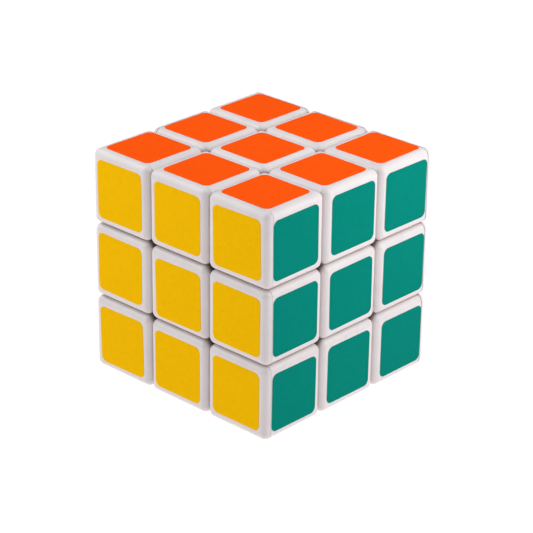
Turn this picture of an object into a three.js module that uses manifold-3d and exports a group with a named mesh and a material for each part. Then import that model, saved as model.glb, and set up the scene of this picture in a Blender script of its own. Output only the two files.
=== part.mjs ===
// A 3 x 3 x 3 twisty puzzle cube in millimetres.
//
// The origin is the centre of the core, where the six turning axes meet. +Z is the top face, -Y the front
// face and +X the right face. Every visible piece is a hollow, rounded cube with a foot behind it: the feet
// of the edges reach under the centres and the feet of the corners reach under the edges, so the six sprung
// screws in the core hold everything together. Layers divide on flat planes, and on spheres about the
// origin, so each of them turns freely at any angle.
//
// Each kind of piece is modelled once in a home position with its cap towards +Z, and copies of it are
// turned into place.
import * as THREE from 'three';
import { mergeVertices } from 'three/addons/utils/BufferGeometryUtils.js';
import { RoundedBoxGeometry } from 'three/addons/geometries/RoundedBoxGeometry.js';
import Module from 'manifold-3d';

const wasm = await Module();
wasm.setup();

// The grid of pieces
const CUBE = 57; // side of the whole cube
const PITCH = CUBE / 3; // from one layer to the next
const LAYER_GAP = 0.3; // air between neighbouring layers
const FILLET = 1.75; // rounding of every edge of a piece
const FILLET_STEPS = 1; // a quarter round has twice this many flats
const WALL = 1.9; // shell of a hollow piece
const SEAM_GAP = 0.3; // air between a cap and the shell that it closes
const PLUG_DEPTH = 1.8; // how far a cap's ring reaches into its shell
const PLUG_WALL = 1.2; // thickness of that ring

// The mechanism behind the pieces
const FOOT_PLANE = 5.5; // layers divide on this plane inside the foot sphere
const FOOT_INNER = 16.5; // radius at the back of every foot
const FOOT_OUTER = 19.8; // radius at the front of every foot
const SHELL_INNER = 20.8; // radius at the back of the edge and centre shells
const SPHERE_SIDES = 20;
const VENT = { radius: 1.25, start: 0, end: 28, sides: 8 }; // moulding vent through an edge's foot

// The core and what is screwed to it, each from a start to an end along its axis
const CORE_BALL = 7.5;
const BOSS = { radius: 3.2, start: 0, end: 11.5 };
const BOSS_BORE = { radius: 1.6, start: 4, end: 12 };
const WELL = { radius: 5.2, start: 11.9, end: 24.2 };
const WELL_BORE = { radius: 3.8, start: 13.4, end: 25 };
const WELL_HOLE = { radius: 1.75, start: 11, end: 14 };
const SCREW_SHAFT = { radius: 1.25, start: 4.6, end: 20 };
const SCREW_HEAD = { radius: 2.9, start: 19.7, end: 20.9 };
const SCREW_CROWN = { radius: 2.9, start: 20.9, end: 21.4, endRadius: 2.3 };
const RECESS = { length: 3.2, width: 0.8, depth: 0.9 };
const WASHER = { radius: 3.3, start: 18.8, end: 19.4 };
const WASHER_HOLE = { radius: 1.6, start: 18, end: 20 };
const SPRING = { radius: 2.7, wire: 0.35, start: 14.05, end: 18.15, turns: 3.5, stepsPerTurn: 8 };
const ROUND_SIDES = 16; // flats of a small round part
const WIRE_SIDES = 6;

// Planes, as distances from the origin
const outside = CUBE / 2;
const inside = PITCH / 2 + LAYER_GAP / 2; // inner side of an outer layer
const middle = PITCH / 2 - LAYER_GAP / 2; // half width of a middle layer
const footInside = FOOT_PLANE + LAYER_GAP / 2;
const footMiddle = FOOT_PLANE - LAYER_GAP / 2;
const footReach = FOOT_OUTER + WALL; // past the foot sphere
const seam = outside - FILLET; // where a cap begins
const shellTop = seam - SEAM_GAP; // where the shell below it ends

// Ranges along one axis
const everywhere = [-CUBE, CUBE];
const outerLayer = [inside, outside];
const middleLayer = [-middle, middle];
const outerCavity = [inside + WALL, outside - WALL];
const middleCavity = [-middle + WALL, middle - WALL];

const faces = {
  top: new THREE.Vector3(0, 0, 1),
  bottom: new THREE.Vector3(0, 0, -1),
  front: new THREE.Vector3(0, -1, 0),
  back: new THREE.Vector3(0, 1, 0),
  left: new THREE.Vector3(-1, 0, 0),
  right: new THREE.Vector3(1, 0, 0),
};

const shellPlastic = new THREE.MeshStandardMaterial({ color: '#e4dfe1', roughness: 0.42, metalness: 0 });
const capPlastic = new THREE.MeshStandardMaterial({ color: '#e9e5e6', roughness: 0.38, metalness: 0 });
const corePlastic = new THREE.MeshStandardMaterial({ color: '#d6cfc8', roughness: 0.5, metalness: 0 });
const steel = new THREE.MeshStandardMaterial({ color: '#a9abad', roughness: 0.35, metalness: 1 });

// Solids

function solid(geometry) {
  const bare = new THREE.BufferGeometry();
  bare.setAttribute('position', geometry.getAttribute('position'));
  bare.setIndex(geometry.getIndex());
  const merged = mergeVertices(bare);
  return new wasm.Manifold(
    new wasm.Mesh({
      numProp: 3,
      vertProperties: new Float32Array(merged.getAttribute('position').array),
      triVerts: new Uint32Array(merged.getIndex().array),
    }),
  );
}

function geometryOf(manifold) {
  const { vertProperties, triVerts } = manifold.getMesh();
  const geometry = new THREE.BufferGeometry();
  geometry.setAttribute('position', new THREE.BufferAttribute(vertProperties, 3));
  geometry.setIndex(new THREE.BufferAttribute(triVerts, 1));
  return geometry;
}

// A box over one range on each axis, rounded on all twelve edges by fillet.
function box(xRange, yRange, zRange, fillet = 0) {
  const ranges = [xRange, yRange, zRange];
  const size = ranges.map(([low, high]) => high - low);
  const centre = ranges.map(([low, high]) => (low + high) / 2);
  const geometry = fillet
    ? new RoundedBoxGeometry(...size, FILLET_STEPS, fillet)
    : new THREE.BoxGeometry(...size);
  return solid(geometry.translate(...centre));
}

function ball(radius) {
  return solid(new THREE.SphereGeometry(radius, SPHERE_SIDES, SPHERE_SIDES / 2));
}

// A round bar from start to end along a direction from the origin, straight unless it has an endRadius.
function bar({ radius, start, end, endRadius = radius, sides = ROUND_SIDES }, direction = faces.top) {
  const geometry = new THREE.CylinderGeometry(endRadius, radius, end - start, sides);
  geometry.translate(0, (start + end) / 2, 0);
  return solid(geometry.applyQuaternion(turnBetween(THREE.Object3D.DEFAULT_UP, direction)));
}

function turnBetween(from, to) {
  return new THREE.Quaternion().setFromUnitVectors(from, to);
}

function shrink([low, high], margin) {
  return [low + margin, high - margin];
}

// The slab of a block above the seam, with a ring below it that fits inside the shell's cavity.
function capOf(block, xCavity, yCavity) {
  const ringBottom = shellTop - PLUG_DEPTH;
  const hole = SEAM_GAP + PLUG_WALL;
  return block
    .intersect(box(everywhere, everywhere, [seam, CUBE]))
    .add(box(shrink(xCavity, SEAM_GAP), shrink(yCavity, SEAM_GAP), [ringBottom, seam + FILLET / 2]))
    .subtract(box(shrink(xCavity, hole), shrink(yCavity, hole), [0, seam]));
}

// The rest of a block, open at the top where its cap goes.
function shellOf(block, cavity) {
  return block.subtract(box(everywhere, everywhere, [shellTop, CUBE])).subtract(cavity);
}

// Pieces at home

// A corner, outside on all three axes.
function cornerParts() {
  const block = box(outerLayer, outerLayer, outerLayer, FILLET);
  const cavity = box(outerCavity, outerCavity, [outerCavity[0], outside]);
  const footRange = [footInside, footReach];
  const foot = box(footRange, footRange, footRange)
    .intersect(ball(FOOT_OUTER))
    .subtract(ball(FOOT_INNER));
  return {
    shell: shellOf(block.add(foot), cavity),
    cap: capOf(block, outerCavity, outerCavity),
  };
}

// An edge, outside on Y and Z, with its cap already pressed on. Its vent runs along the diagonal.
function edgePart() {
  const block = box(middleLayer, outerLayer, outerLayer, FILLET);
  const cavity = box(middleCavity, outerCavity, outerCavity).subtract(ball(SHELL_INNER + WALL));
  const footWidth = [-footMiddle, footMiddle];
  const footRange = [footInside, footReach];
  const neckRange = [inside, footReach];
  const foot = box(footWidth, footRange, footRange).intersect(ball(FOOT_OUTER));
  const neck = box(footWidth, neckRange, neckRange).intersect(ball(SHELL_INNER + WALL / 2));
  const diagonal = new THREE.Vector3(0, 1, 1).normalize();
  return block
    .subtract(ball(SHELL_INNER))
    .add(foot)
    .add(neck)
    .subtract(ball(FOOT_INNER))
    .subtract(cavity)
    .subtract(bar(VENT, diagonal));
}

// A centre, outside on Z only, with a well for its screw and spring.
function centreParts() {
  const block = box(middleLayer, middleLayer, outerLayer, FILLET);
  const cavity = box(middleCavity, middleCavity, outerLayer).subtract(ball(SHELL_INNER + WALL));
  return {
    shell: shellOf(block.subtract(ball(SHELL_INNER)), cavity)
      .add(bar(WELL))
      .subtract(bar(WELL_BORE))
      .subtract(bar(WELL_HOLE)),
    cap: capOf(block, middleCavity, middleCavity),
  };
}

function screw() {
  const slotHeight = [SCREW_CROWN.end - RECESS.depth, SCREW_CROWN.end + RECESS.depth];
  const long = [-RECESS.length / 2, RECESS.length / 2];
  const short = [-RECESS.width / 2, RECESS.width / 2];
  return bar(SCREW_SHAFT)
    .add(bar(SCREW_HEAD))
    .add(bar(SCREW_CROWN))
    .subtract(box(long, short, slotHeight))
    .subtract(box(short, long, slotHeight));
}

// The middle line of a spring's wire.
class Helix extends THREE.Curve {
  getPoint(t, target = new THREE.Vector3()) {
    const angle = t * SPRING.turns * 2 * Math.PI;
    const height = THREE.MathUtils.lerp(SPRING.start, SPRING.end, t);
    return target.set(SPRING.radius * Math.cos(angle), SPRING.radius * Math.sin(angle), height);
  }
}

function spring() {
  const section = new THREE.Shape().absarc(0, 0, SPRING.wire, 0, 2 * Math.PI);
  return solid(
    new THREE.ExtrudeGeometry(section, {
      extrudePath: new Helix(),
      steps: Math.ceil(SPRING.turns * SPRING.stepsPerTurn),
      curveSegments: WIRE_SIDES / 2,
    }),
  );
}

// The ball in the middle, with a bored boss towards each face.
function core() {
  let body = ball(CORE_BALL);
  for (const direction of Object.values(faces)) {
    body = body.add(bar(BOSS, direction));
  }
  for (const direction of Object.values(faces)) {
    body = body.subtract(bar(BOSS_BORE, direction));
  }
  return body;
}

// The cube

const cube = new THREE.Group();

function mesh(name, geometry, material) {
  const piece = new THREE.Mesh(geometry, material);
  piece.name = name;
  return piece;
}

// The names of the faces that a piece shows, such as top_front_right.
function facesToward(direction) {
  const shown = Object.entries(faces).filter(([, normal]) => normal.dot(direction) > 0.5);
  return shown.map(([name]) => name).join('_');
}

// Adds copies of a piece's parts, spun by quarter turns at home and then tipped until +Z faces a face.
// home is the direction in which the piece lies at home, and onlyOn picks the places that are kept.
function placeAround(face, parts, home, onlyOn = () => true) {
  const tipped = new THREE.Group();
  tipped.quaternion.copy(turnBetween(faces.top, faces[face]));
  for (let quarter = 0; quarter < 4; quarter += 1) {
    const spun = new THREE.Group();
    spun.rotation.z = (quarter * Math.PI) / 2;
    const place = home.clone().applyEuler(spun.rotation).applyQuaternion(tipped.quaternion);
    if (onlyOn(place)) {
      for (const [kind, geometry, material] of parts) {
        spun.add(mesh(`${kind}_${facesToward(place)}`, geometry, material));
      }
      tipped.add(spun);
    }
  }
  cube.add(tipped);
}

cube.add(mesh('core', geometryOf(core()), corePlastic));

const centre = centreParts();
const centreKinds = [
  ['centre_base', geometryOf(centre.shell), shellPlastic],
  ['centre_cap', geometryOf(centre.cap), capPlastic],
  ['screw', geometryOf(screw()), steel],
  ['washer', geometryOf(bar(WASHER).subtract(bar(WASHER_HOLE))), steel],
  ['spring', geometryOf(spring()), steel],
];
for (const [face, normal] of Object.entries(faces)) {
  const tipped = new THREE.Group();
  tipped.quaternion.copy(turnBetween(faces.top, normal));
  for (const [kind, geometry, material] of centreKinds) {
    tipped.add(mesh(`${kind}_${face}`, geometry, material));
  }
  cube.add(tipped);
}

// Caps of the corners, and of every edge that can, are on the front and the back. The four other edges
// have theirs on the left and the right.
const edgeKinds = [['edge', geometryOf(edgePart()), shellPlastic]];
const edgeHome = new THREE.Vector3(0, 1, 1);
const corner = cornerParts();
const cornerKinds = [
  ['corner', geometryOf(corner.shell), shellPlastic],
  ['corner_cap', geometryOf(corner.cap), capPlastic],
];
const cornerHome = new THREE.Vector3(1, 1, 1);
for (const face of ['front', 'back']) {
  placeAround(face, edgeKinds, edgeHome);
  placeAround(face, cornerKinds, cornerHome);
}
for (const face of ['left', 'right']) {
  placeAround(face, edgeKinds, edgeHome, (place) => Math.abs(place.z) > 0.5);
}

export default cube;
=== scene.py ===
# The looks of the twisty puzzle cube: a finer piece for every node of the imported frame, and stickers.
import math
import random

import bmesh
import bpy
from mathutils import Matrix, Vector


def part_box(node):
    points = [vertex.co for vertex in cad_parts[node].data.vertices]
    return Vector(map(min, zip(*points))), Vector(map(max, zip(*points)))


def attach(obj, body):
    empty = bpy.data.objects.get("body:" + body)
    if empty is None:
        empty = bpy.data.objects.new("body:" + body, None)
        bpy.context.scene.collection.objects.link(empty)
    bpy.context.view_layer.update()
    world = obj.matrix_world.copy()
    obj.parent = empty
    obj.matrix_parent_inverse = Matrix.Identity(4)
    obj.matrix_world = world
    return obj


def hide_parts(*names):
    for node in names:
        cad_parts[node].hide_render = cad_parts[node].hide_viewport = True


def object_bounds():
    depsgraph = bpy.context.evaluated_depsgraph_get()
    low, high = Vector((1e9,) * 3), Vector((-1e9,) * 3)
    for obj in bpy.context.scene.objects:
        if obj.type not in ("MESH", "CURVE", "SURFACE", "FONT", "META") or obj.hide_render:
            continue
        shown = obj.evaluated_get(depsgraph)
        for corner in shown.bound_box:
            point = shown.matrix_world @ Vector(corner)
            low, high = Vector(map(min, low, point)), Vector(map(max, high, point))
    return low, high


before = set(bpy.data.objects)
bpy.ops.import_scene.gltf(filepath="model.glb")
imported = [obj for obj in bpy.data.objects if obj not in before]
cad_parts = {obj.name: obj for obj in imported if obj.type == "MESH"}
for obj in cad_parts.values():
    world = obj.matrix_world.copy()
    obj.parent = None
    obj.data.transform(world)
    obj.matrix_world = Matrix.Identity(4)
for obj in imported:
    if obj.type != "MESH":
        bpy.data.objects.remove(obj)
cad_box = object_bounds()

MM = 0.001

# Sizes that the frame gives, in millimetres
OUTSIDE = cad_box[1].z / MM  # half of the cube's side
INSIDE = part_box("corner_cap_top_back_right")[0].x / MM  # inner side of an outer layer
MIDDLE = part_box("centre_cap_top")[1].x / MM  # half width of a middle layer
FOOT_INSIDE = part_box("corner_top_back_right")[0].x / MM  # inner side of an outer layer's feet
FOOT_MIDDLE = FOOT_INSIDE - (INSIDE - MIDDLE)  # half width of a middle layer's feet
BLOCK_CENTRE = (INSIDE + OUTSIDE) / 2
JUNCTION = (INSIDE + MIDDLE) / 2  # where the pieces meet

# The mechanism behind the pieces, in millimetres from the centre of the cube
FOOT_INNER = 16.5
FOOT_OUTER = 19.8
SHELL_INNER = 20.6
WELL = (5.2, 11.9, 24.2)  # radius, start and end along its axis, as for every round part below
WELL_BORE = (3.8, 13.4, 25)
WELL_HOLE = (1.75, 11, 14)
VENT = (1.25, 0, 28)
HUB_BALL = 7.5
BOSS = (3.2, 0, 11.5)
BOSS_BORE = (1.6, 4, 12)
SCREW_HEAD = (2.9, 19.7, 20.9)
SCREW_CROWN = (2.9, 20.9, 21.4)
SCREW_CROWN_END = 2.3  # radius
SCREW_NECK = (1.25, 10.8, 20)
SCREW_THREAD = (1.15, 1.45, 4.6, 11)  # root and crest radius, start and end
SCREW_PITCH = 0.8
THREAD_STEPS = 8  # in each pitch
RECESS = (1.6, 0.4, 20.5)  # half length, half width and floor of the cross in a screw's head
WASHER = (3.3, 18.8, 19.4)
WASHER_HOLE = (1.6, 18, 20)
SPRING = (2.7, 0.35, 14.05, 18.15)  # radius, radius of its wire, start and end of the wire's middle line
SPRING_TURNS = 3.5
WIRE_SIDES = 12

# Moulded pieces, in millimetres
FILLET = 1.75
FILLET_STEPS = 8
WALL = 1.7
SEAM = OUTSIDE - FILLET  # where a cap meets its shell
SEAM_GAP = 0.09  # from the seam to each side of its groove
SEAM_CHAMFER = 0.1
PLUG_DEPTH = 1.8
PLUG_WALL = 1.2
PLUG_FIT = 0.15
ROUND_STEPS = 48
FINE_STEPS = ROUND_STEPS // 2  # round a thin part
FAR = 60  # beyond every piece
SAME_POINT = 1e-4  # points this close are one

# Stickers, in millimetres and degrees
STICKER_HALF = 7.42
STICKER_CORNER = 1.5
STICKER_THICKNESS = 0.1
STICKER_BEVEL = 0.09
STICKER_PRINTED = 0.95  # faces whose normal points up more than this are printed, the others are the cut rim, painted darker as shade
STICKER_SHIFT = 0.12  # standard deviation from the middle of its face, across and up
STICKER_TWIST = 0.55  # standard deviation
STICKER_SEED = 3

SHARP = math.radians(35)  # between faces that meet at a crease

# Grime and painted shade on the plastic, darker deeper in the grooves and openings, in millimetres: depths
# below the cube's faces between which it grows or fades
GROOVE_SHADE_AND_GRIME = (0.7, 2.5)
OPENING_SHADE_AND_GRIME = (1, 2.8)
GRIME_AND_SHADE_FADE = (4.5, 9)
OPENING_REACH = (0.9, 1.7)  # distances from an opening's middle, between which its grime and painted shade fade

NORMALS = {
    "top": Vector((0, 0, 1)),
    "bottom": Vector((0, 0, -1)),
    "front": Vector((0, -1, 0)),
    "back": Vector((0, 1, 0)),
    "left": Vector((-1, 0, 0)),
    "right": Vector((1, 0, 0)),
}


# Places

def place_name(direction):
    """The faces that a piece shows, in the frame's order, such as top_front_right."""
    return "_".join(face for face, normal in NORMALS.items() if normal.dot(direction) > 0.5)


def turns_home_to(face):
    """The four rotations that bring +Z to a face's normal."""
    tip = NORMALS["top"].rotation_difference(NORMALS[face]).to_matrix().to_4x4()
    return [tip @ Matrix.Rotation(math.radians(90 * quarter), 4, "Z") for quarter in range(4)]


# Solids in millimetres, as objects that are only used up by other solids

def mesh_object(name, bm):
    mesh = bpy.data.meshes.new(name)
    bmesh.ops.recalc_face_normals(bm, faces=bm.faces)
    bm.to_mesh(mesh)
    bm.free()
    made = bpy.data.objects.new(name, mesh)
    bpy.context.scene.collection.objects.link(made)
    return made


def box(x_range, y_range, z_range):
    bm = bmesh.new()
    bmesh.ops.create_cube(bm, size=1)
    for vertex in bm.verts:
        for axis, (low, high) in enumerate((x_range, y_range, z_range)):
            vertex.co[axis] = high if vertex.co[axis] > 0 else low
    return mesh_object("box", bm)


def ball(radius):
    bm = bmesh.new()
    bmesh.ops.create_uvsphere(bm, u_segments=ROUND_STEPS, v_segments=FINE_STEPS, radius=radius)
    return mesh_object("ball", bm)


def rod(radius, start, end, direction=NORMALS["top"], end_radius=None):
    bm = bmesh.new()
    bmesh.ops.create_cone(
        bm, cap_ends=True, segments=ROUND_STEPS, radius1=radius,
        radius2=radius if end_radius is None else end_radius, depth=end - start,
    )
    turn = NORMALS["top"].rotation_difference(direction).to_matrix().to_4x4()
    bm.transform(turn @ Matrix.Translation((0, 0, (start + end) / 2)))
    return mesh_object("rod", bm)


def tube(name, rings):
    """A closed skin over rings of points."""
    bm = bmesh.new()
    rings = [[bm.verts.new(point) for point in ring] for ring in rings]
    for lower, upper in zip(rings, rings[1:]):
        for i in range(len(lower)):
            j = (i + 1) % len(lower)
            bm.faces.new((lower[i], lower[j], upper[j], upper[i]))
    bm.faces.new(reversed(rings[0]))
    bm.faces.new(rings[-1])
    bmesh.ops.remove_doubles(bm, verts=bm.verts, dist=SAME_POINT)
    return mesh_object(name, bm)


def rounded_ring(half_x, half_y, radius, inset, z):
    """A rounded rectangle at height z, drawn inset from its full outline."""
    ring = []
    for quarter, (sign_x, sign_y) in enumerate(((1, 1), (-1, 1), (-1, -1), (1, -1))):
        for step in range(FILLET_STEPS + 1):
            angle = (quarter + step / FILLET_STEPS) * math.pi / 2
            x = sign_x * (half_x - radius) + (radius - inset) * math.cos(angle)
            y = sign_y * (half_y - radius) + (radius - inset) * math.sin(angle)
            ring.append((x, y, z))
    return ring


def end_profile(z, inward, rounding, steps):
    """Heights and insets from an end face inward, round a quarter circle or a chamfer of one step."""
    profile = []
    for step in range(steps + 1):
        angle = step / steps * math.pi / 2
        height = z + inward * rounding * (1 - math.cos(angle))
        profile.append((height, rounding * (1 - math.sin(angle))))
    return profile


def rounded_block(half_x, half_y, radius, low_end, high_end):
    """A block with rounded corners. Each end is its height, its rounding and the steps of that."""
    low, low_rounding, low_steps = low_end
    high, high_rounding, high_steps = high_end
    profile = end_profile(low, 1, low_rounding, low_steps)
    profile += reversed(end_profile(high, -1, high_rounding, high_steps))
    return tube("block", [rounded_ring(half_x, half_y, radius, inset, z) for z, inset in profile])


def combine(operation, first, others):
    """Joins other solids to the first, or cuts them from it, and uses them up."""
    for other in others:
        modifier = first.modifiers.new("boolean", "BOOLEAN")
        modifier.operation = operation
        modifier.solver = "MANIFOLD"
        modifier.object = other
    apply_modifiers(first)
    for other in others:
        bpy.data.objects.remove(other)
    return first


def apply_modifiers(target):
    evaluated = target.evaluated_get(bpy.context.evaluated_depsgraph_get())
    mesh = bpy.data.meshes.new_from_object(evaluated)
    target.modifiers.clear()
    target.data = mesh


def join(first, *others):
    return combine("UNION", first, others)


def cut(first, *others):
    return combine("DIFFERENCE", first, others)


def keep_in(first, *others):
    return combine("INTERSECT", first, others)


def shrink(span, margin):
    low, high = span
    return low + margin, high - margin


# Moulded pieces at home, with their caps towards +Z

OUTER = (INSIDE, OUTSIDE)
MIDDLES = (-MIDDLE, MIDDLE)
FOOT_OUT = (FOOT_INSIDE, FAR)
FOOT_MID = (-FOOT_MIDDLE, FOOT_MIDDLE)


def half_of(span):
    return (span[1] - span[0]) / 2


def block_part(x_range, y_range, low_end, high_end):
    made = rounded_block(half_of(x_range), half_of(y_range), FILLET, low_end, high_end)
    centre = Vector((sum(x_range) / 2, sum(y_range) / 2, 0))
    made.data.transform(Matrix.Translation(centre))
    return made


def cap_part(x_range, y_range):
    """The rounded slab beyond the seam and the ring that plugs it into its shell."""
    under = (SEAM + SEAM_GAP, SEAM_CHAMFER, 1)
    slab = block_part(x_range, y_range, under, (OUTSIDE, FILLET, FILLET_STEPS))
    ring_z = (SEAM - PLUG_DEPTH, SEAM + FILLET / 2)
    ring = box(shrink(x_range, WALL + PLUG_FIT), shrink(y_range, WALL + PLUG_FIT), ring_z)
    hole_margin = WALL + PLUG_FIT + PLUG_WALL
    hole = box(shrink(x_range, hole_margin), shrink(y_range, hole_margin), (0, under[0]))
    return cut(join(slab, ring), hole)


def shell_block(x_range, y_range):
    return block_part(
        x_range, y_range, (INSIDE, FILLET, FILLET_STEPS), (SEAM - SEAM_GAP, SEAM_CHAMFER, 1)
    )


def cavity_box(x_range, y_range):
    return box(shrink(x_range, WALL), shrink(y_range, WALL), (INSIDE + WALL, OUTSIDE))


def corner_shell():
    foot = keep_in(box(FOOT_OUT, FOOT_OUT, FOOT_OUT), ball(FOOT_OUTER))
    foot = cut(foot, ball(FOOT_INNER))
    return cut(join(shell_block(OUTER, OUTER), foot), cavity_box(OUTER, OUTER))


def edge_shell():
    foot = keep_in(box(FOOT_MID, FOOT_OUT, FOOT_OUT), ball(FOOT_OUTER))
    neck = keep_in(box(FOOT_MID, (INSIDE, FAR), (INSIDE, FAR)), ball(SHELL_INNER + WALL / 2))
    cavity = cut(cavity_box(MIDDLES, OUTER), ball(SHELL_INNER + WALL))
    vent = rod(*VENT, direction=Vector((0, 1, 1)).normalized())
    shell = cut(shell_block(MIDDLES, OUTER), ball(SHELL_INNER))
    return cut(join(shell, foot, neck), ball(FOOT_INNER), cavity, vent)


def centre_shell():
    cavity = cut(cavity_box(MIDDLES, MIDDLES), ball(SHELL_INNER + WALL))
    shell = cut(shell_block(MIDDLES, MIDDLES), ball(SHELL_INNER), cavity)
    return cut(join(shell, rod(*WELL)), rod(*WELL_BORE), rod(*WELL_HOLE))


# What the core holds at home, towards +Z

def hub():
    """The ball in the middle, with a bored boss towards each face."""
    bosses = [rod(*BOSS, direction=normal) for normal in NORMALS.values()]
    bores = [rod(*BOSS_BORE, direction=normal) for normal in NORMALS.values()]
    return cut(join(ball(HUB_BALL), *bosses), *bores)


def thread():
    """The screw's threaded end, which widens from half its width over the first pitch."""
    root, crest, start, end = SCREW_THREAD
    steps_up = THREAD_STEPS * round((end - start) / SCREW_PITCH)
    rings = []
    for step in range(steps_up + 1):
        z = start + (end - start) * step / steps_up
        taper = 0.5 + 0.5 * min(1, (z - start) / SCREW_PITCH)
        ring = []
        for i in range(FINE_STEPS):
            turn = i / FINE_STEPS
            ridge = 1 - abs(2 * ((z / SCREW_PITCH - turn) % 1) - 1)
            radius = (root + (crest - root) * ridge) * taper
            ring.append((radius * math.cos(turn * math.tau), radius * math.sin(turn * math.tau), z))
        rings.append(ring)
    return tube("thread", rings)


def screw():
    long, short, recess_floor = RECESS
    recess_z = (recess_floor, SCREW_CROWN[2] + 1)
    crown = rod(*SCREW_CROWN, end_radius=SCREW_CROWN_END)
    cross = [box((-x, x), (-y, y), recess_z) for x, y in ((long, short), (short, long))]
    return cut(join(rod(*SCREW_HEAD), crown, rod(*SCREW_NECK), thread()), *cross)


def washer():
    return cut(rod(*WASHER), rod(*WASHER_HOLE))


def spring():
    radius, wire, start, end = SPRING
    steps = round(SPRING_TURNS * FINE_STEPS)
    rings = []
    for step in range(steps + 1):
        angle = step / steps * SPRING_TURNS * math.tau
        out = Vector((math.cos(angle), math.sin(angle), 0))
        middle = out * radius + Vector((0, 0, start + (end - start) * step / steps))
        sides = [i / WIRE_SIDES * math.tau for i in range(WIRE_SIDES)]
        rings.append([middle + (out * math.cos(a) + NORMALS["top"] * math.sin(a)) * wire for a in sides])
    return tube("spring", rings)


def finish_mesh(made):
    """Smooth faces with sharp creases, and normals that keep the flats flat."""
    made.data.polygons.foreach_set("use_smooth", [True] * len(made.data.polygons))
    made.data.set_sharp_from_angle(angle=SHARP)
    weighted = made.modifiers.new("weighted", "WEIGHTED_NORMAL")
    weighted.keep_sharp = True
    apply_modifiers(made)
    return made


def placed(name, home, turn, body, materials, slot, *nodes):
    """A copy of a home piece, turned into place and scaled to metres, which rides on its body."""
    mesh = home.data.copy()
    mesh.transform(Matrix.Scale(MM, 4) @ turn)
    mesh.materials.clear()
    for material in materials:
        mesh.materials.append(material)
    made = bpy.data.objects.new(name, mesh)
    bpy.context.scene.collection.objects.link(made)
    if nodes:
        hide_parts(*nodes)
    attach(made, body)
    return made


# Materials

MIDDLE_OF_NOISE = (0.3, 0.7)  # the part of a noise texture's range that most of it lies in


def shader(name, **inputs):
    """A material with a Principled shader, whose uniform inputs are set on its own sockets."""
    material = bpy.data.materials.new(name)
    material.use_nodes = True
    principled = material.node_tree.nodes["Principled BSDF"]
    for key, value in inputs.items():
        principled.inputs[key.replace("_", " ")].default_value = value
    return material, material.node_tree, principled


def linear(red, green, blue):
    """A colour given as 8-bit sRGB."""
    def channel(value):
        value /= 255
        return value / 12.92 if value <= 0.04045 else ((value + 0.055) / 1.055) ** 2.4
    return channel(red), channel(green), channel(blue), 1


def scaled(color, factor):
    return tuple(factor * part for part in color[:3]) + (1,)


def noise(tree, scale, detail=2.0, roughness=0.5):
    coordinates = tree.nodes.new("ShaderNodeTexCoord")
    texture = tree.nodes.new("ShaderNodeTexNoise")
    texture.inputs["Scale"].default_value = scale
    texture.inputs["Detail"].default_value = detail
    texture.inputs["Roughness"].default_value = roughness
    tree.links.new(coordinates.outputs["Object"], texture.inputs["Vector"])
    return texture.outputs["Fac"]


def ramp(tree, factor, stops):
    """A colour ramp through (position, colour) stops."""
    node = tree.nodes.new("ShaderNodeValToRGB")
    elements = node.color_ramp.elements
    while len(elements) < len(stops):
        elements.new(0.5)
    for element, (position, color) in zip(elements, stops):
        element.position = position
        element.color = color
    tree.links.new(factor, node.inputs["Fac"])
    return node.outputs["Color"]


def remap(tree, value, source, target):
    """Maps a range of a value to another range, and holds it at the ends."""
    node = tree.nodes.new("ShaderNodeMapRange")
    for side, (low, high) in (("From", source), ("To", target)):
        node.inputs[f"{side} Min"].default_value = low
        node.inputs[f"{side} Max"].default_value = high
    tree.links.new(value, node.inputs["Value"])
    return node.outputs["Result"]


def mix(tree, factor, a, b):
    node = tree.nodes.new("ShaderNodeMix")
    node.data_type = "RGBA"
    for socket, value in ((node.inputs["Factor"], factor), (node.inputs["A"], a), (node.inputs["B"], b)):
        if isinstance(value, bpy.types.NodeSocket):
            tree.links.new(value, socket)
        else:
            socket.default_value = value
    return node.outputs["Result"]


def math_node(tree, operation, *values):
    node = tree.nodes.new("ShaderNodeMath")
    node.operation = operation
    for socket, value in zip(node.inputs, values):
        if isinstance(value, bpy.types.NodeSocket):
            tree.links.new(value, socket)
        else:
            socket.default_value = value
    return node.outputs["Value"]


def bump(tree, height, distance, under=None):
    """Bumps of a depth in metres, on top of other bumps if there are any under them."""
    node = tree.nodes.new("ShaderNodeBump")
    node.inputs["Distance"].default_value = distance
    tree.links.new(height, node.inputs["Height"])
    if under is not None:
        tree.links.new(under, node.inputs["Normal"])
    return node.outputs["Normal"]


def in_metres(span):
    return tuple(length * MM for length in span)


def depth_and_opening(tree):
    """How far in metres a point lies below the cube's faces at rest, and how close it is to an opening.

    An opening is where four pieces meet: 1 on its axis and 0 outside it."""
    coordinates = tree.nodes.new("ShaderNodeTexCoord")
    parts = tree.nodes.new("ShaderNodeSeparateXYZ")
    tree.links.new(coordinates.outputs["Object"], parts.inputs["Vector"])
    x, y, z = (math_node(tree, "ABSOLUTE", parts.outputs[axis]) for axis in "XYZ")
    greater, lesser = math_node(tree, "MAXIMUM", x, y), math_node(tree, "MINIMUM", x, y)
    largest = math_node(tree, "MAXIMUM", greater, z)
    smallest = math_node(tree, "MINIMUM", lesser, z)
    median = math_node(tree, "MAXIMUM", lesser, math_node(tree, "MINIMUM", greater, z))
    off_axis = [
        math_node(tree, "ABSOLUTE", math_node(tree, "SUBTRACT", size, JUNCTION * MM))
        for size in (median, smallest)
    ]
    opening = remap(tree, math_node(tree, "MAXIMUM", *off_axis), in_metres(OPENING_REACH), (1, 0))
    return math_node(tree, "SUBTRACT", OUTSIDE * MM, largest), opening


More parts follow.
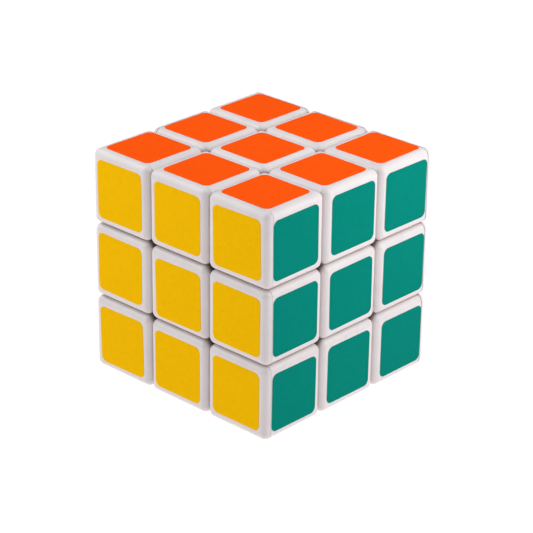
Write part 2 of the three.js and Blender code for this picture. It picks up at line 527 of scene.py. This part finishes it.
def plastic(name, light, dark, groove_shade_and_grime):
    """Moulded white plastic, a little uneven, with grime and painted shade: pinkish grey in the grooves
    and brown in the openings.
    """
    material, tree, principled = shader(name, Roughness=0.34, IOR=1.5, Specular_IOR_Level=0.5)
    cloudy = ramp(tree, noise(tree, scale=140, detail=3), ((0.35, light), (0.7, dark)))
    specks = remap(tree, noise(tree, scale=1500, detail=3), (0.66, 0.74), (0, 0.1))
    # Painted shade with some grime: the deeper a point lies below the cube's faces, the darker its colour,
    # pinkish grey in the grooves and brown in the openings, fading out far inside.
    depth, opening = depth_and_opening(tree)
    fade = remap(tree, depth, in_metres(GRIME_AND_SHADE_FADE), (1, 0.3))
    in_groove = remap(tree, depth, in_metres(GROOVE_SHADE_AND_GRIME), (0, 0.78))
    patches = remap(tree, noise(tree, scale=400, detail=2), MIDDLE_OF_NOISE, (0.75, 1.15))
    patchy = math_node(tree, "MULTIPLY", math_node(tree, "MULTIPLY", in_groove, fade), patches)
    grooved = mix(tree, math_node(tree, "MAXIMUM", patchy, specks), cloudy, groove_shade_and_grime)
    in_opening = remap(tree, depth, in_metres(OPENING_SHADE_AND_GRIME), (0, 0.93))
    deep = math_node(tree, "MULTIPLY", math_node(tree, "MULTIPLY", in_opening, opening), fade)
    tree.links.new(mix(tree, deep, grooved, opening_shade_and_grime), principled.inputs["Base Color"])
    gloss = remap(tree, noise(tree, scale=500, detail=3), MIDDLE_OF_NOISE, (0.27, 0.4))
    tree.links.new(gloss, principled.inputs["Roughness"])
    waves = bump(tree, noise(tree, scale=220, detail=1), distance=0.00002)
    grain = bump(tree, noise(tree, scale=5200, detail=2), distance=0.000003, under=waves)
    tree.links.new(grain, principled.inputs["Normal"])
    return material


def vinyl(name, color):
    """A printed sticker: nearly matte, finely mottled, with a few small stains and specks of dust."""
    material, tree, principled = shader(name, Roughness=0.55, IOR=1.45, Specular_IOR_Level=0.012)
    darker, stain = scaled(color, 0.97), scaled(color, 0.84)
    lighter = tuple(min(1, 1.03 * part + 0.001) for part in color[:3]) + (1,)
    mottle = noise(tree, scale=1100, detail=4, roughness=0.6)
    mottled = ramp(tree, mottle, ((0.32, darker), (0.5, color), (0.7, lighter)))
    stains = remap(tree, noise(tree, scale=620, detail=2), (0.66, 0.76), (0, 0.3))
    stained = mix(tree, stains, mottled, stain)
    cells = tree.nodes.new("ShaderNodeTexVoronoi")
    cells.inputs["Scale"].default_value = 210
    coordinates = tree.nodes.new("ShaderNodeTexCoord")
    tree.links.new(coordinates.outputs["Object"], cells.inputs["Vector"])
    speck = remap(tree, cells.outputs["Distance"], (0.03, 0.06), (0.45, 0))
    rare = remap(tree, noise(tree, scale=90, detail=1), (0.62, 0.64), (0, 1))
    dust = tuple(0.6 * part + 0.25 for part in color[:3]) + (1,)
    colored = mix(tree, math_node(tree, "MULTIPLY", speck, rare), stained, dust)
    tree.links.new(colored, principled.inputs["Base Color"])
    gloss = remap(tree, noise(tree, scale=700, detail=3), MIDDLE_OF_NOISE, (0.48, 0.6))
    tree.links.new(gloss, principled.inputs["Roughness"])
    wrinkles = bump(tree, noise(tree, scale=260, detail=2), distance=0.00003)
    grain = bump(tree, noise(tree, scale=3600, detail=2), distance=0.000006, under=wrinkles)
    tree.links.new(grain, principled.inputs["Normal"])
    return material


def metal(name, color, roughness, scratch_scale):
    """Plated steel with fine uneven polish about a mean roughness."""
    material, tree, principled = shader(name, Metallic=1.0)
    cloudy = ramp(tree, noise(tree, scale=900, detail=3), ((0.35, scaled(color, 0.78)), (0.65, color)))
    tree.links.new(cloudy, principled.inputs["Base Color"])
    scratches = noise(tree, scale=scratch_scale, detail=3)
    polish = remap(tree, scratches, MIDDLE_OF_NOISE, (roughness * 0.75, roughness * 1.3))
    tree.links.new(polish, principled.inputs["Roughness"])
    relief = bump(tree, noise(tree, scale=scratch_scale, detail=2), distance=0.000008)
    tree.links.new(relief, principled.inputs["Normal"])
    return material


# Colours of the painted shade and grime in the grooves and openings; the third colour of each plastic is
# its groove colour.
opening_shade_and_grime = linear(78, 52, 42)
pinkish_grey = linear(192, 168, 154)
shell_plastic = plastic("shell_plastic", linear(228, 222, 223), linear(223, 216, 218), pinkish_grey)
cap_plastic = plastic("cap_plastic", linear(229, 224, 225), linear(224, 218, 220), pinkish_grey)
core_plastic = plastic("core_plastic", linear(222, 214, 206), linear(210, 201, 192), linear(196, 182, 172))
sticker_colors = {
    "top": ("orange", linear(255, 87, 12)),
    "bottom": ("red", linear(186, 22, 34)),
    "front": ("yellow", linear(249, 193, 1)),
    "back": ("black", linear(30, 31, 34)),
    "left": ("blue", linear(12, 72, 158)),
    "right": ("green", linear(1, 131, 117)),
}
vinyls = {}
for face, (color, value) in sticker_colors.items():
    # The second material of each sticker is its colour at half brightness on the cut edge and rim: a
    # painted dark outline for the shade along the sticker's edge.
    vinyls[face] = [vinyl(f"sticker_{color}", value), vinyl(f"sticker_{color}_edge", scaled(value, 0.5))]
screw_steel = metal("screw_steel", linear(176, 177, 180), roughness=0.34, scratch_scale=1400)
washer_steel = metal("washer_steel", linear(188, 189, 192), roughness=0.24, scratch_scale=1900)
spring_steel = metal("spring_steel", linear(150, 151, 156), roughness=0.3, scratch_scale=2400)


# Pieces

corner_home = (Vector((1, 1, 1)), finish_mesh(corner_shell()), finish_mesh(cap_part(OUTER, OUTER)))
edge_home = (Vector((0, 1, 1)), finish_mesh(edge_shell()), finish_mesh(cap_part(MIDDLES, OUTER)))
centre_home = (Vector((0, 0, 1)), finish_mesh(centre_shell()), finish_mesh(cap_part(MIDDLES, MIDDLES)))


def add_piece(kind, home, cap_face, quarter, shell_nodes, cap_nodes):
    """A shell and its cap. The names of their CAD nodes end in the place that they are turned to."""
    direction, shell, cap = home
    turn = turns_home_to(cap_face)[quarter]
    place = place_name(turn @ direction)
    body = f"{kind}_{place}"
    shell_node, cap_node = f"{shell_nodes}_{place}", f"{cap_nodes}_{place}"
    placed(f"{kind}_shell_{place}", shell, turn, body, [shell_plastic], "shell_plastic", shell_node)
    placed(f"{kind}_lid_{place}", cap, turn, body, [cap_plastic], "cap_plastic", cap_node)


for face in NORMALS:
    add_piece("centre", centre_home, face, 0, "centre_base", "centre_cap")
for face in ("front", "back"):
    for quarter in range(4):
        add_piece("corner", corner_home, face, quarter, "corner", "corner_cap")
        add_piece("edge", edge_home, face, quarter, "edge", "edge")
for face in ("left", "right"):
    for quarter, turn in enumerate(turns_home_to(face)):
        if abs((turn @ edge_home[0]).z) > 0.5:
            add_piece("edge", edge_home, face, quarter, "edge", "edge")
for home in (corner_home, edge_home, centre_home):
    for part in home[1:]:
        bpy.data.objects.remove(part)


# Stickers

def sticker_home():
    """A sticker on the top face of a piece at the origin, with its cut edge and rim as a second material,
    painted darker as shade.
    """
    made = rounded_block(
        STICKER_HALF, STICKER_HALF, STICKER_CORNER,
        (0, 0, 1), (STICKER_THICKNESS, STICKER_BEVEL, 2),
    )
    for polygon in made.data.polygons:
        polygon.material_index = 0 if polygon.normal.z > STICKER_PRINTED else 1
    return finish_mesh(made)


def add_stickers():
    home = sticker_home()
    hands = random.Random(STICKER_SEED)
    kinds = {1: "centre", 2: "edge", 3: "corner"}
    for face, normal in NORMALS.items():
        turn = turns_home_to(face)[0]
        across, up = turn.to_3x3() @ Vector((1, 0, 0)), turn.to_3x3() @ Vector((0, 1, 0))
        for i in (-1, 0, 1):
            for j in (-1, 0, 1):
                place = place_name(normal + across * i + up * j)
                kind = kinds[place.count("_") + 1]
                shift = [hands.gauss(0, STICKER_SHIFT) for _ in range(2)]
                spot = Vector((i * BLOCK_CENTRE + shift[0], j * BLOCK_CENTRE + shift[1], OUTSIDE))
                twist = Matrix.Rotation(math.radians(hands.gauss(0, STICKER_TWIST)), 4, "Z")
                placed(
                    f"sticker_{face}_on_{kind}_{place}", home, turn @ Matrix.Translation(spot) @ twist,
                    f"{kind}_{place}", vinyls[face], f"sticker_{sticker_colors[face][0]}",
                )
    bpy.data.objects.remove(home)


add_stickers()


# The core and what it holds

def add_inner_parts():
    homes = [finish_mesh(part) for part in (hub(), screw(), washer(), spring())]
    hub_home, screw_home, washer_home, spring_home = homes
    placed("hub", hub_home, Matrix(), "core", [core_plastic], "core_plastic", "core")
    for face in NORMALS:
        turn = turns_home_to(face)[0]
        placed(f"bolt_{face}", screw_home, turn, "core", [screw_steel], "screw_steel", f"screw_{face}")
        placed(f"ring_{face}", washer_home, turn, "core", [washer_steel], "washer_steel", f"washer_{face}")
        placed(
            f"coil_{face}", spring_home, turn, f"centre_{face}", [spring_steel], "spring_steel",
            f"spring_{face}",
        )
    for home in homes:
        bpy.data.objects.remove(home)


add_inner_parts()


# Floor, light and camera, in metres and degrees

FLOOR_HALF = 3
FLOOR_GLOW = 0.96
FLOOR_TINT = (1.06, 1, 1, 1)
FLOOR_GREYS = ((0.3, (0.07, 0.07, 0.07, 1)), (0.7, (0.08, 0.08, 0.08, 1)))

SKY = 0.2
SOFTBOXES = (  # name, azimuth, elevation, distance, size and power in watts
    ("left_softbox", -65, 47, 0.3, 0.2, 0.36),
    ("front_softbox", -35, 28, 0.5, 0.3, 0.52),
    ("right_softbox", 113, 30, 0.18, 0.12, 0.17),
    ("top_softbox", 0, 90, 0.4, 0.3, 0.22),
    ("back_softbox", 165, 40, 0.4, 0.3, 0.32),
)

# The eye that the photograph was taken from
EYE_ANGLES = (42.993, 24.615, 0.709)  # azimuth, elevation and roll
EYE_DISTANCE = 0.5137
EYE_ASIDE = 0.001191  # how far its axis passes to the right of the cube's centre
EYE_ABOVE = -0.002061  # and above it
EYE_CLIP = 0.01
LENS = 143.9  # in millimetres, as the sensor
SENSOR = 36


def floor():
    bm = bmesh.new()
    bmesh.ops.create_grid(bm, x_segments=1, y_segments=1, size=FLOOR_HALF)
    bm.transform(Matrix.Translation((0, 0, -(OUTSIDE + STICKER_THICKNESS) * MM)))
    made = mesh_object("floor", bm)
    material, tree, principled = shader(
        "pale_floor", Roughness=0.8, Emission_Color=FLOOR_TINT, Emission_Strength=FLOOR_GLOW
    )
    tree.links.new(ramp(tree, noise(tree, scale=6), FLOOR_GREYS), principled.inputs["Base Color"])
    made.data.materials.append(material)


def toward(azimuth, elevation):
    """The direction at an azimuth, from the front to the right, and an elevation, both in radians."""
    level = math.cos(elevation)
    return Vector((math.sin(azimuth) * level, -math.cos(azimuth) * level, math.sin(elevation)))


def softbox(name, azimuth, elevation, distance, size, power):
    """A square area light that looks at the cube's centre and stays out of the picture."""
    back = toward(math.radians(azimuth), math.radians(elevation))
    data = bpy.data.lights.new(name, "AREA")
    data.size = size
    data.energy = power
    lamp = bpy.data.objects.new(name, data)
    bpy.context.scene.collection.objects.link(lamp)
    lamp.location = back * distance
    lamp.rotation_mode = "QUATERNION"
    lamp.rotation_quaternion = (-back).to_track_quat("-Z", "Y")
    lamp.visible_camera = False


def light():
    world = bpy.data.worlds.new("studio")
    world.use_nodes = True
    background = world.node_tree.nodes["Background"]
    background.inputs["Color"].default_value = (1, 1, 1, 1)
    background.inputs["Strength"].default_value = SKY
    bpy.context.scene.world = world
    for row in SOFTBOXES:
        softbox(*row)


def camera():
    azimuth, elevation, roll = (math.radians(angle) for angle in EYE_ANGLES)
    back = toward(azimuth, elevation)
    level = Vector((math.cos(azimuth), math.sin(azimuth), 0))
    upright = back.cross(level)
    right = level * math.cos(roll) + upright * math.sin(roll)
    up = upright * math.cos(roll) - level * math.sin(roll)
    data = bpy.data.cameras.new("camera")
    data.sensor_width = SENSOR
    data.lens = LENS
    data.clip_start = EYE_CLIP
    eye = bpy.data.objects.new("camera", data)
    bpy.context.scene.collection.objects.link(eye)
    place = Matrix.Translation(back * EYE_DISTANCE + level * EYE_ASIDE + upright * EYE_ABOVE)
    eye.matrix_world = place @ Matrix((right, up, back)).transposed().to_4x4()
    bpy.context.scene.camera = eye


floor()
light()
camera()
bpy.context.scene.view_settings.view_transform = "Standard"
